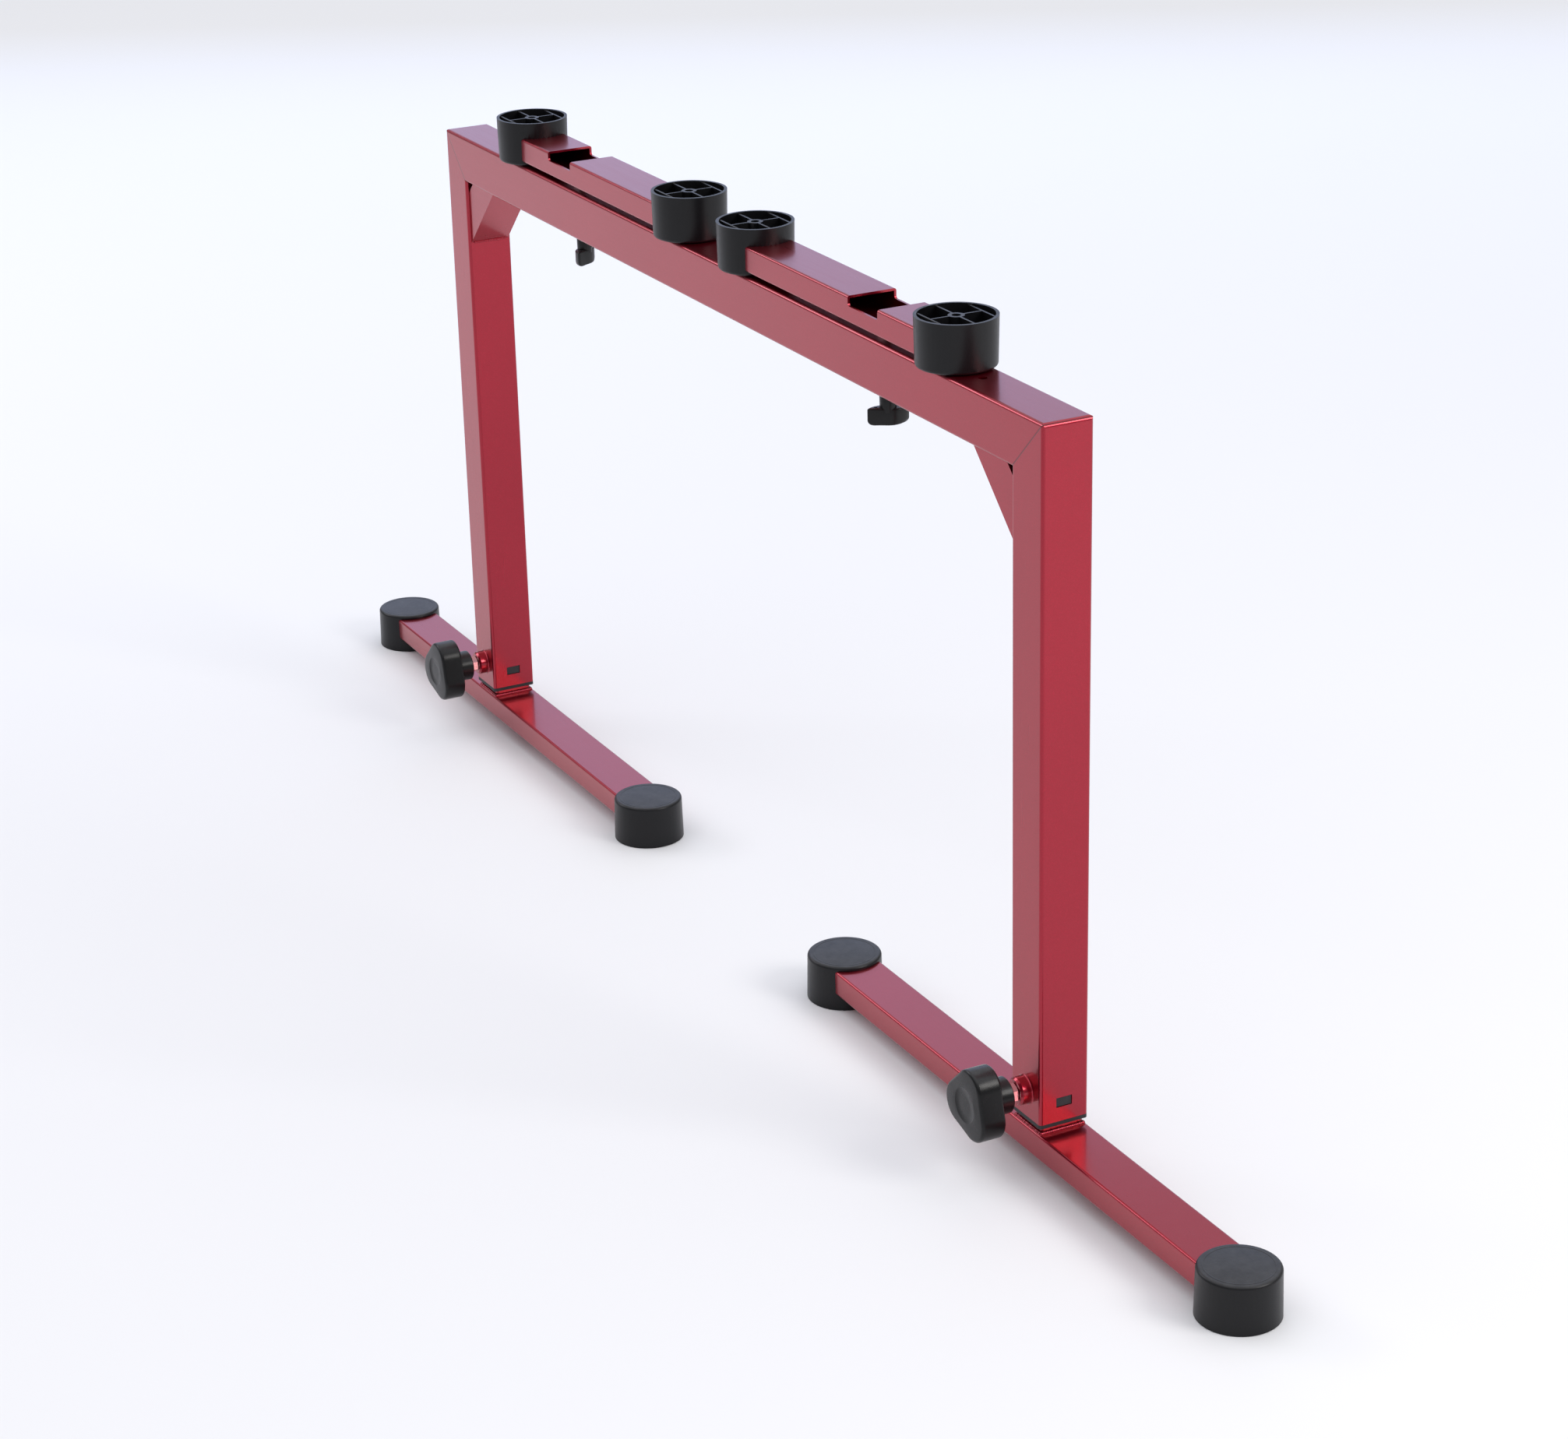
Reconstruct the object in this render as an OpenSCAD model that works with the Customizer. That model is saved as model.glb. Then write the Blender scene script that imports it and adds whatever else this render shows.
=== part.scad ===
// Table-style keyboard stand, stowed: two support arms lie along the crossbar and the two feet
// stand in line with it. +X runs along the crossbar, -Y is the side with the clamping knobs and
// +Z is up. The origin is on the floor, at the middle of the overall box.

/* [Frame] */
// Overall width across the two legs
frame_w = 1020; // [850:1:1250]
// Height of the crossbar's top face above the floor with the legs pushed in
frame_top = 563; // [450:1:720]
// Side of the square frame tube
tube_w = 40; // [36:0.5:50]
// Wall of the frame tube
tube_wall = 1.8; // [1.2:0.1:2.5]
// Outer corner radius of the frame tube
tube_r = 2.5; // [2:0.1:4]
// Rounding of the frame's two outer upper corners, where the mitred joints are ground smooth
corner_r = 3; // [1:0.25:4]
// Length of each edge of a corner gusset
gusset_l = 55; // [30:1:90]
// Sheet thickness of a gusset
gusset_t = 2; // [1.5:0.1:3]
// Clipped inner corner of a gusset
gusset_clip = 10; // [5:0.5:15]

/* [Telescopic legs] */
// Gap between the inner tube and the bore of the leg tube
slide_gap = 1.2; // [0.8:0.1:2]
// Wall of the inner tube
inner_wall = 2; // [1.2:0.1:3]
// Outer corner radius of the inner tube
inner_r = 2; // [1:0.1:3]
// Room left above the inner tube, below the crossbar
inner_room = 6; // [5:0.5:20]
// Gap between the foot and the guide's flange
leg_gap = 5.5; // [4:0.1:12]
// Height of the weld bead round the foot of the inner tube
weld_h = 4; // [2:0.1:4]
// Thickness of the guide's flange under the leg tube
guide_flange = 3; // [2:0.1:6]
// Height of the guide's sleeve inside the leg tube
guide_sleeve = 10; // [6:0.5:10]
// Height of the guide's two latch tongues
guide_tongue = 26; // [22:0.5:30]
// Height of the latch window's middle above the leg tube's end
window_up = 15; // [14:0.5:18]
// Width of the latch window
window_w = 13; // [8:0.5:16]
// Height of the latch window
window_h = 7.5; // [5:0.5:8]
// Extra width of a latch tongue on each side of the window
tongue_side = 1.5; // [0.5:0.1:3]
// Depth of the latch's face below the leg tube's face
latch_sunk = 0.6; // [0.2:0.1:1]
// Length of the slide plug over the inner tube's top end
plug_l = 20; // [12:0.5:24]
// Thickness of the slide plug's rim on top of the inner tube
plug_rim = 3; // [2:0.5:4]

/* [Feet and arms] */
// Height of the flat tube of the feet and arms, which is as wide as the frame tube
flat_h = 20; // [16:0.5:24]
// Wall of the flat tube
flat_wall = 1.8; // [1.2:0.1:2.5]
// Outer corner radius of the flat tube
flat_r = 2; // [1:0.1:3]
// Distance from the leg's axis to the outer foot cap's axis
foot_out = 242; // [120:1:330]
// Distance from the leg's axis to the inner foot cap's axis
foot_in = 310; // [120:1:330]
// Distance from the middle of the crossbar to an arm's pivot
arm_pivot = 263; // [230:1:330]
// Distance from an arm's pivot to its inner cap's axis
arm_in = 206; // [150:1:206]
// Distance from an arm's pivot to its outer cap's axis
arm_out = 99; // [70:1:140]
// Gap between the arm caps and the crossbar
arm_gap = 0.5; // [0.3:0.1:2]
// Width of the notch that sits over the crossbar in use
notch_w = 44; // [30:0.5:60]
// Depth of that notch
notch_h = 7.5; // [4:0.5:8]
// Corner radius at the bottom of the notch
notch_r = 2; // [1:0.25:4]
// Gap between an outer arm cap and the spare arm hole beside it
spare_gap = 6; // [5:0.5:20]

/* [End caps] */
// How far an end cap stands out on each side of its flat tube, at its open end
cap_side = 10; // [6:0.5:20]
// Height of an end cap
cap_h = 36.5; // [34:0.5:50]
// Draft angle of a cap's side
cap_draft = 1.2; // [0:0.1:2]
// Wall of a cap at its open end
cap_wall = 2.4; // [1.8:0.1:3]
// Thickness of a cap's closed end
cap_end = 3.5; // [2.5:0.1:5]
// Rounding of a cap's closed edge
cap_round = 2.5; // [1:0.1:3]
// Thickness of the ribs
rib_t = 1.6; // [1:0.1:2.5]
// How far the ribs stop short of the open rim
rib_drop = 1; // [0.5:0.1:3]
// Outer diameter of the central boss
boss_d = 12; // [8:0.5:16]
// Bore of the central boss
boss_bore_d = 6.6; // [3:0.1:7]
// Gap between the end corners of a flat tube and its cap's wall
seat_gap = 4; // [2:0.5:6]

/* [Leg clamps] */
// Height of the clamp's axis above the leg tube's end
clamp_up = 21; // [19:0.5:40]
// Diameter of the welded clamp boss
clamp_boss_d = 21; // [18:0.5:26]
// Length of the welded clamp boss
clamp_boss_l = 9; // [7:0.5:20]
// Chamfer round the end of the threaded boss
boss_chamfer = 1.5; // [0.5:0.1:2]
// Diameter of the clamping screw
clamp_screw_d = 8; // [6:0.5:10]
// Diameter of the clamp pad
pad_d = 11; // [9:0.5:13]
// How far the clamp pad reaches into its boss
pad_lip = 0.3; // [0:0.1:1]
// Travel of the clamping screw when the knob is loosened
clamp_travel = 2.1875; // [1:0.0625:2.1875]
// Across flats of the lock nut
nut_af = 13; // [11:0.5:17]
// Thickness of the lock nut
nut_t = 7; // [3:0.5:8]
// Diameter of the knob's hub
hub_d = 27; // [20:0.5:34]
// Length of the knob's hub
hub_l = 14; // [8:0.5:24]
// Thickness of the knob's head
head_t = 20; // [14:0.5:28]
// Angle that the head is turned from one lobe pointing down
head_angle = 44; // [-60:1:60]
// Distance from the knob's axis to each lobe's centre
lobe_at = 12; // [8:0.5:18]
// Radius of each lobe
lobe_r = 16.5; // [12:0.5:20]
// Rounding of the head's edges
head_round = 4; // [2:0.5:6]

/* [Arm screws] */
// Diameter of the arm screw
arm_screw_d = 6; // [5:0.5:8]
// Outer diameter of the arm's rivet nut
rivet_d = 11; // [9.5:0.5:13]
// Flange diameter of the rivet nut
rivet_flange_d = 15; // [14:0.5:18]
// Flange thickness of the rivet nut
rivet_flange_t = 1; // [0.8:0.1:1.5]
// Length of the rivet nut above its flange
rivet_l = 9; // [8:0.5:10]
// How far the arm screw passes the rivet nut
screw_past = 1.5; // [1:0.5:2]
// Outer diameter of the washer
washer_d = 18; // [14:0.5:24]
// Thickness of the washer
washer_t = 1.6; // [1:0.1:2.5]
// Diameter of the wing grip's stem
stem_d = 13; // [10:0.5:18]
// Length of the stem
stem_l = 14.5; // [6:0.5:16]
// Length of the wing
wing_l = 30; // [24:0.5:50]
// Width of the wing
wing_w = 13; // [10:0.5:18]
// Height of the wing
wing_h = 12.5; // [8:0.5:20]
// Diameter of the blind hole in the wing's shoulder
wing_hole_d = 2.5; // [1.5:0.25:3]
// Distance of that hole from the wing's tip
wing_hole_in = 6; // [5:0.5:8]
// Depth of that hole
wing_hole_deep = 4; // [2:0.5:6]
// Direction of the left wing, from the crossbar's outer end
left_wing_angle = 30; // [-90:1:90]
// Direction of the right wing, from the crossbar's outer end
right_wing_angle = 60; // [-90:1:90]

/* [Clearances] */
// Gap between parts that move past each other
clear = 0.3; // [0.3:0.05:0.6]
// Radial running clearance of a screw in its thread
thread_fit = 0.05; // [0.02:0.01:0.08]
// Radial clearance of the arm screw in the crossbar
hole_clear = 0.4; // [0.3:0.1:1]

/* [Hidden] */
$fn = 64;

paint = "firebrick";
plastic = "dimgray";
dark = "darkslategray";
zinc = "silver";

// Flat tubes and their caps
flat_w = tube_w;
cap_d = flat_w + 2 * cap_side;
cap_in_r = cap_d / 2 - cap_wall;
// Feet: the cap stands on the floor and the flat tube hangs from its closed end
foot_top = cap_h - cap_end;
foot_bottom = foot_top - flat_h;
cap_top_r = cap_in_r - foot_top * tan(cap_draft);
cap_seat = sqrt(cap_top_r * cap_top_r - flat_w * flat_w / 4) - seat_gap;
// Frame
leg_x = (frame_w - tube_w) / 2;
leg_bottom = foot_top + leg_gap + guide_flange;
bar_bottom = frame_top - tube_w;
bore_w = tube_w - 2 * tube_wall;
bore_r = tube_r - tube_wall > 0.4 ? tube_r - tube_wall : 0.4;
// Inner tube
inner_w = bore_w - 2 * slide_gap;
inner_top = bar_bottom - inner_room;
slot_w = inner_w + 2 * clear;
// Arms: a cap upside down on the crossbar, with the flat tube above its closed end
arm_bottom = frame_top + arm_gap + cap_end;
arm_top = arm_bottom + flat_h;
arm_rim = frame_top + arm_gap + cap_h;
spare_hole_x = arm_pivot + arm_out + cap_d / 2 + spare_gap;
// Leg clamp, along -Y from the frame's mid-plane
clamp_z = leg_bottom + clamp_up;
pad_face = inner_w / 2 + clear;
pad_back = tube_w / 2 + pad_lip;
screw_tip = pad_back + clear;
boss_end = tube_w / 2 + clamp_boss_l;
knob_nut_at = boss_end + clear;
hub_at = knob_nut_at + nut_t;
head_at = hub_at + hub_l;
knob_end = head_at + head_t;
// Arm screw, below the crossbar
washer_top = bar_bottom - clear;
stem_top = washer_top - washer_t;
wing_top = stem_top - stem_l;
rivet_top = arm_bottom + rivet_l;
bolt_top = rivet_top + screw_past;
// The frame's mid-plane, so that the overall box is centred on Y = 0
plane_y = (knob_end - cap_d / 2) / 2;

// ---------------------------------------------------------------- shared shapes

// Draws a right-hand piece on its own side, or its mirror image on the left
module side(s) {
    translate([0, plane_y, 0])
        if (s < 0) mirror([1, 0, 0]) children();
        else children();
}

// Rectangle with true round corners, centred
module round_rect(w, h, r) {
    square([w - 2 * r, h], center = true);
    square([w, h - 2 * r], center = true);
    for (x = [-1, 1], y = [-1, 1])
        translate([x * (w / 2 - r), y * (h / 2 - r)]) circle(r = r);
}

// Section of a rectangular tube
module tube_section(w, h, r, wall) {
    difference() {
        round_rect(w, h, r);
        round_rect(w - 2 * wall, h - 2 * wall, r - wall > 0.4 ? r - wall : 0.4);
    }
}

// Extrudes a section, drawn in Y and Z, along X from x0 to x1
module along_x(x0, x1) {
    translate([x0, 0, 0]) rotate([90, 0, 90]) linear_extrude(x1 - x0) children();
}

// Extrudes an outline, drawn in X and Z, across the frame's mid-plane
module across_y(depth) {
    rotate([90, 0, 0]) linear_extrude(depth, center = true) children();
}

// Extrudes a section upwards from z0 to z1
module along_z(z0, z1) {
    translate([0, 0, z0]) linear_extrude(z1 - z0) children();
}

// Cylinder that points away from the frame's front face, from y = a to y = b
module front_cyl(d, a, b) {
    rotate([90, 0, 0]) translate([0, 0, a]) cylinder(d = d, h = b - a);
}

// Ribbed end cap, open side down, with its flat tube leaving towards +X
module end_cap() {
    top_r = cap_d / 2 - cap_h * tan(cap_draft);
    edge_r = cap_d / 2 - (cap_h - cap_round) * tan(cap_draft);
    difference() {
        rotate_extrude() union() {
            polygon([[0, 0], [cap_d / 2, 0], [edge_r, cap_h - cap_round],
                     [edge_r - cap_round, cap_h], [0, cap_h]]);
            translate([edge_r - cap_round, cap_h - cap_round]) circle(r = cap_round);
        }
        rotate_extrude()
            polygon([[0, -1], [cap_in_r, -1], [cap_in_r, 0], [cap_top_r, foot_top], [0, foot_top]]);
        translate([0, 0, foot_bottom + flat_h / 2])
            along_x(0, cap_d) round_rect(flat_w, flat_h, flat_r);
    }
    difference() {
        intersection() {
            translate([0, 0, rib_drop]) cylinder(r = cap_top_r + cap_wall / 4, h = foot_top - rib_drop);
            union() {
                // Side walls of the tube's pocket
                for (y = [-1, 1])
                    translate([-cap_d / 2, y * (flat_w + rib_t) / 2 - rib_t / 2, 0])
                        cube([cap_d, rib_t, foot_top]);
                // Floor of the pocket
                translate([-cap_d / 2, -flat_w / 2, foot_bottom - rib_t])
                    cube([cap_d, flat_w, rib_t]);
                // Ribs under the floor
                translate([-cap_d / 2, -rib_t / 2, 0]) cube([cap_d, rib_t, foot_bottom]);
                translate([-rib_t / 2, -flat_w / 2, 0]) cube([rib_t, flat_w, foot_bottom]);
                cylinder(d = boss_d, h = foot_bottom - rib_t / 2);
            }
        }
        translate([0, 0, -1]) cylinder(d = boss_bore_d, h = foot_bottom - rib_t + 1);
        translate([0, 0, foot_bottom + flat_h / 2])
            along_x(-cap_seat, cap_d) round_rect(flat_w, flat_h, flat_r);
    }
}

// ---------------------------------------------------------------- frame

// Block with the frame's outline, whose two upper corners are round
module frame_outline() {
    across_y(tube_w + 2) {
        translate([-frame_w / 2, 0]) square([frame_w, frame_top - corner_r]);
        translate([corner_r - frame_w / 2, 0]) square([frame_w - 2 * corner_r, frame_top]);
        for (x = [-1, 1])
            translate([x * (frame_w / 2 - corner_r), frame_top - corner_r]) circle(r = corner_r);
    }
}

module crossbar() {
    color(paint) translate([0, plane_y, 0]) difference() {
        intersection() {
            translate([0, 0, frame_top - tube_w / 2])
                along_x(-frame_w / 2, frame_w / 2) tube_section(tube_w, tube_w, tube_r, tube_wall);
            across_y(tube_w + 2)
                polygon([[-frame_w / 2, frame_top], [frame_w / 2, frame_top],
                         [frame_w / 2 - tube_w, bar_bottom], [tube_w - frame_w / 2, bar_bottom]]);
            frame_outline();
        }
        for (x = [-spare_hole_x, -arm_pivot, arm_pivot, spare_hole_x])
            translate([x, 0, bar_bottom - 1])
                cylinder(d = arm_screw_d + 2 * hole_clear, h = tube_w + 2);
    }
}

module leg_tube() {
    color(paint) difference() {
        intersection() {
            translate([leg_x, 0, 0])
                along_z(leg_bottom, frame_top) tube_section(tube_w, tube_w, tube_r, tube_wall);
            across_y(tube_w + 2)
                polygon([[frame_w / 2 - tube_w, leg_bottom], [frame_w / 2, leg_bottom],
                         [frame_w / 2, frame_top], [frame_w / 2 - tube_w, bar_bottom]]);
            frame_outline();
        }
        translate([leg_x, 0, leg_bottom + window_up])
            cube([tube_w + 2, window_w, window_h], center = true);
        translate([leg_x, 0, clamp_z])
            front_cyl(pad_d + 2 * clear, tube_w / 2 - tube_wall - 1, tube_w / 2 + 1);
    }
}

// Folded gusset under the crossbar: a front web, a back web and the sloping flange between them
module gusset() {
    depth = tube_w - 2 * tube_r;
    slope = gusset_t * sqrt(2);
    color(paint) translate([frame_w / 2 - tube_w, 0, bar_bottom]) mirror([1, 0, 0]) mirror([0, 0, 1]) {
        for (y = [-1, 1])
            translate([0, y * (depth - gusset_t) / 2, 0]) across_y(gusset_t)
                polygon([[gusset_clip, 0], [gusset_l, 0], [0, gusset_l], [0, gusset_clip]]);
        across_y(depth)
            polygon([[gusset_l, 0], [0, gusset_l], [0, gusset_l - slope], [gusset_l - slope, 0]]);
    }
}

// Plastic guide: flange below the leg tube, sleeve inside it and two tongues with latches
module leg_guide() {
    color(dark) translate([leg_x, 0, leg_bottom]) difference() {
        union() {
            along_z(-guide_flange, 0) round_rect(tube_w, tube_w, tube_r);
            along_z(0, guide_sleeve) round_rect(bore_w, bore_w, bore_r);
            intersection() {
                along_z(0, guide_tongue) round_rect(bore_w, bore_w, bore_r);
                translate([0, 0, guide_tongue / 2])
                    cube([tube_w, window_w + 2 * tongue_side, guide_tongue], center = true);
            }
            translate([0, 0, window_up])
                cube([bore_w + 2 * (tube_wall - latch_sunk), window_w - 2 * clear, window_h - 2 * clear],
                     center = true);
        }
        along_z(-guide_flange - 1, guide_tongue + 1) round_rect(slot_w, slot_w, inner_r);
    }
}

module clamp_boss() {
    color(paint) translate([leg_x, 0, clamp_z]) difference() {
        union() {
            front_cyl(clamp_boss_d, tube_w / 2, boss_end - boss_chamfer);
            rotate([90, 0, 0]) translate([0, 0, boss_end - boss_chamfer])
                cylinder(d1 = clamp_boss_d, d2 = clamp_boss_d - 2 * boss_chamfer, h = boss_chamfer);
        }
        front_cyl(clamp_screw_d + 2 * thread_fit, tube_w / 2 - 1, boss_end + 1);
        front_cyl(pad_d + 2 * clear, tube_w / 2 - 1, pad_back + clamp_travel + clear);
    }
}

// ---------------------------------------------------------------- feet

module inner_tube() {
    color(paint) translate([leg_x, 0, 0])
        along_z(foot_top, inner_top) tube_section(inner_w, inner_w, inner_r, inner_wall);
}

module slide_plug() {
    outer = bore_w - 2 * clear;
    color(plastic) translate([leg_x, 0, inner_top]) difference() {
        along_z(-plug_l, plug_rim) round_rect(outer, outer, bore_r + 0.6);
        along_z(-plug_l - 1, 0) round_rect(inner_w, inner_w, inner_r);
        cylinder(d = inner_w / 2, h = plug_rim + 1);
    }
}

module foot_tube() {
    color(paint) translate([leg_x, 0, foot_bottom + flat_h / 2])
        along_x(-foot_in - cap_seat, foot_out + cap_seat)
            tube_section(flat_w, flat_h, flat_r, flat_wall);
}

// Fillet weld on all four sides of the inner tube
module foot_weld() {
    leg = (flat_w - inner_w) / 2 - flat_r / 4;
    color(paint) translate([leg_x, 0, foot_top])
        for (a = [0, 90, 180, 270]) rotate([0, 0, a]) translate([inner_w / 2, 0, 0])
            across_y(inner_w - 2 * inner_r) polygon([[0, 0], [leg, 0], [0, weld_h]]);
}

module foot_cap_outer() {
    color(dark) translate([leg_x + foot_out, 0, 0]) mirror([1, 0, 0]) end_cap();
}

module foot_cap_inner() {
    color(dark) translate([leg_x - foot_in, 0, 0]) end_cap();
}

// ---------------------------------------------------------------- arms

module arm_tube() {
    x0 = arm_pivot - arm_in - cap_seat;
    x1 = arm_pivot + arm_out + cap_seat;
    color(paint) difference() {
        translate([0, 0, arm_bottom + flat_h / 2])
            along_x(x0, x1) tube_section(flat_w, flat_h, flat_r, flat_wall);
        translate([arm_pivot, 0, arm_top])
            across_y(flat_w + 2) round_rect(notch_w, 2 * notch_h, notch_r);
        translate([arm_pivot, 0, arm_bottom - 1]) cylinder(d = rivet_d, h = flat_wall + 2);
    }
}

module arm_cap_outer() {
    color(dark) translate([arm_pivot + arm_out, 0, arm_rim])
        rotate([180, 0, 0]) mirror([1, 0, 0]) end_cap();
}

module arm_cap_inner() {
    color(dark) translate([arm_pivot - arm_in, 0, arm_rim]) rotate([180, 0, 0]) end_cap();
}

module arm_nut() {
    color(zinc) translate([arm_pivot, 0, arm_bottom]) difference() {
        union() {
            translate([0, 0, -rivet_flange_t]) cylinder(d = rivet_flange_d, h = rivet_flange_t);
            cylinder(d = rivet_d, h = rivet_l);
            translate([0, 0, flat_wall]) cylinder(d = rivet_flange_d - 1, h = rivet_flange_t);
        }
        translate([0, 0, -rivet_flange_t - 1])
            cylinder(d = arm_screw_d + 2 * thread_fit, h = rivet_flange_t + rivet_l + 2);
    }
}

// ---------------------------------------------------------------- leg clamps

module clamp_pad() {
    color(plastic) translate([leg_x, 0, clamp_z]) front_cyl(pad_d, pad_face, pad_back);
}

module knob_screw() {
    color(zinc) translate([leg_x, 0, clamp_z])
        front_cyl(clamp_screw_d, screw_tip, head_at + head_t / 2);
}

module knob_nut() {
    color(zinc) translate([leg_x, 0, clamp_z]) difference() {
        rotate([90, 0, 0]) translate([0, 0, knob_nut_at])
            cylinder(d = nut_af / cos(30), h = nut_t, $fn = 6);
        front_cyl(clamp_screw_d, knob_nut_at - 1, hub_at + 1);
    }
}

// Outline of the three-lobed head, shrunk by inset
module head_outline(angle, inset) {
    for (a = [0 : 2]) rotate(120 * a - 90 + angle) translate([lobe_at, 0]) circle(r = lobe_r - inset, $fn = 48);
}

module knob_head(angle) {
    steps = 4;
    color(dark) translate([leg_x, 0, clamp_z]) difference() {
        union() {
            front_cyl(hub_d, hub_at, head_at + head_round);
            rotate([90, 0, 0]) hull() for (i = [0 : steps]) {
                a = 90 * i / steps;
                inset = head_round * (1 - cos(a));
                rise = head_round * sin(a);
                translate([0, 0, head_at + head_round - rise])
                    linear_extrude(head_t - 2 * head_round + 2 * rise) head_outline(angle, inset);
            }
        }
        front_cyl(clamp_screw_d, hub_at - 1, head_at + head_t / 2);
    }
}

// ---------------------------------------------------------------- arm screws

module wing_washer() {
    color(zinc) translate([arm_pivot, 0, stem_top]) difference() {
        cylinder(d = washer_d, h = washer_t);
        translate([0, 0, -1]) cylinder(d = arm_screw_d + 2 * clear, h = washer_t + 2);
    }
}

module wing_bolt() {
    color(zinc) translate([arm_pivot, 0, wing_top - wing_h / 2])
        cylinder(d = arm_screw_d, h = bolt_top - wing_top + wing_h / 2);
}

// Lens-shaped wing with its lower corners rounded, below a round stem
module wing_grip(angle) {
    lens_r = (wing_l * wing_l / 4 + wing_w * wing_w / 4) / wing_w;
    side_r = wing_l / 2;
    color(dark) translate([arm_pivot, 0, 0]) rotate([0, 0, angle]) difference() {
        union() {
            translate([0, 0, wing_top - 1]) cylinder(d = stem_d, h = stem_l + 1 - clear);
            intersection() {
                translate([0, 0, wing_top - wing_h]) linear_extrude(wing_h) intersection_for(y = [-1, 1])
                    translate([0, y * (lens_r - wing_w / 2)]) circle(r = lens_r);
                across_y(wing_w + 2) union() {
                    translate([0, wing_top - wing_h + side_r]) circle(r = side_r);
                    translate([-wing_l / 2, wing_top - wing_h + side_r]) square([wing_l, side_r]);
                }
            }
        }
        translate([0, 0, wing_top - wing_h / 2])
            cylinder(d = arm_screw_d, h = stem_l + wing_h);
        translate([wing_l / 2 - wing_hole_in, 0, wing_top - wing_hole_deep])
            cylinder(d = wing_hole_d, h = wing_hole_deep + 1);
    }
}

// ---------------------------------------------------------------- nodes

crossbar();
side(-1) leg_tube();  // left_leg_tube
side(1) leg_tube();  // right_leg_tube
side(-1) gusset();  // left_gusset
side(1) gusset();  // right_gusset
side(-1) leg_guide();  // left_leg_guide
side(1) leg_guide();  // right_leg_guide
side(-1) clamp_boss();  // left_clamp_boss
side(1) clamp_boss();  // right_clamp_boss
side(-1) inner_tube();  // left_inner_tube
side(1) inner_tube();  // right_inner_tube
side(-1) slide_plug();  // left_slide_plug
side(1) slide_plug();  // right_slide_plug
side(-1) foot_tube();  // left_foot_tube
side(1) foot_tube();  // right_foot_tube
side(-1) foot_weld();  // left_foot_weld
side(1) foot_weld();  // right_foot_weld
side(-1) foot_cap_outer();  // left_foot_cap_outer
side(1) foot_cap_outer();  // right_foot_cap_outer
side(-1) foot_cap_inner();  // left_foot_cap_inner
side(1) foot_cap_inner();  // right_foot_cap_inner
side(-1) arm_tube();  // left_arm_tube
side(1) arm_tube();  // right_arm_tube
side(-1) arm_cap_outer();  // left_arm_cap_outer
side(1) arm_cap_outer();  // right_arm_cap_outer
side(-1) arm_cap_inner();  // left_arm_cap_inner
side(1) arm_cap_inner();  // right_arm_cap_inner
side(-1) arm_nut();  // left_arm_nut
side(1) arm_nut();  // right_arm_nut
side(-1) clamp_pad();  // left_clamp_pad
side(1) clamp_pad();  // right_clamp_pad
side(-1) knob_head(-head_angle);  // left_knob_head
side(1) knob_head(head_angle);  // right_knob_head
side(-1) knob_screw();  // left_knob_screw
side(1) knob_screw();  // right_knob_screw
side(-1) knob_nut();  // left_knob_nut
side(1) knob_nut();  // right_knob_nut
side(-1) wing_washer();  // left_wing_washer
side(1) wing_washer();  // right_wing_washer
side(-1) wing_bolt();  // left_wing_bolt
side(1) wing_bolt();  // right_wing_bolt
side(-1) wing_grip(left_wing_angle);  // left_wing_grip
side(1) wing_grip(right_wing_angle);  // right_wing_grip
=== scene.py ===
"""Looks of the stowed keyboard stand: painted tube, plastic caps and grips, plated screws, a studio."""

import math
import random

import bmesh
import bpy
from bpy.props import FloatProperty, FloatVectorProperty, IntProperty, PointerProperty
from mathutils import Matrix, Vector


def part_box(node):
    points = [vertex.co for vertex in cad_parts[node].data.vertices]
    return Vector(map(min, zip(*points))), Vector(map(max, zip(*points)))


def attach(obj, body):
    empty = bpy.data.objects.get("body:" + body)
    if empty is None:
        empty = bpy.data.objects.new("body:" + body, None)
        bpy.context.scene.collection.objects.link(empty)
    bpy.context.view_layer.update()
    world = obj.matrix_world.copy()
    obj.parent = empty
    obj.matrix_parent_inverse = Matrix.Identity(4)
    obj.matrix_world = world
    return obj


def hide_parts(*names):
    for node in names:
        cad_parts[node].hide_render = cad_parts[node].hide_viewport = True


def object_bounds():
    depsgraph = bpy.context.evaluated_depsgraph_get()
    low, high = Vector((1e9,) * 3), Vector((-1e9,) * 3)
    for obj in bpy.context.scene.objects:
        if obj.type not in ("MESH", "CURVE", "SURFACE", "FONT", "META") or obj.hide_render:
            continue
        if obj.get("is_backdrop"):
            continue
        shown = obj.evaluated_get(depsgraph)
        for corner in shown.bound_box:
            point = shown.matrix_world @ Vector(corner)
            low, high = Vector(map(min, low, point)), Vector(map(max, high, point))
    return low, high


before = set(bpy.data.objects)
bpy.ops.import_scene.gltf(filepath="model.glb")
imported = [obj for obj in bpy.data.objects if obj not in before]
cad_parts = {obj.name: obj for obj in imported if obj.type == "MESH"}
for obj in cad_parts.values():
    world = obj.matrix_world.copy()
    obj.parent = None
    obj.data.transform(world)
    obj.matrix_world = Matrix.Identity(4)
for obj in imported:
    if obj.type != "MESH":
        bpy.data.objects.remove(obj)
CAD_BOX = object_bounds()

bl_info = {
    "name": "Keyboard stand looks",
    "version": (1, 0, 0),
    "blender": (4, 5, 0),
    "location": "View3D > Sidebar > Stand",
    "description": "Builds the fine pieces, finishes and studio of a stowed keyboard stand",
    "category": "Object",
}

SIDES = ("left", "right")
CAPS = ("foot_cap_outer", "foot_cap_inner", "arm_cap_outer", "arm_cap_inner")
MM = 0.001


# ---------------------------------------------------------------- sizes and colours


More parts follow.
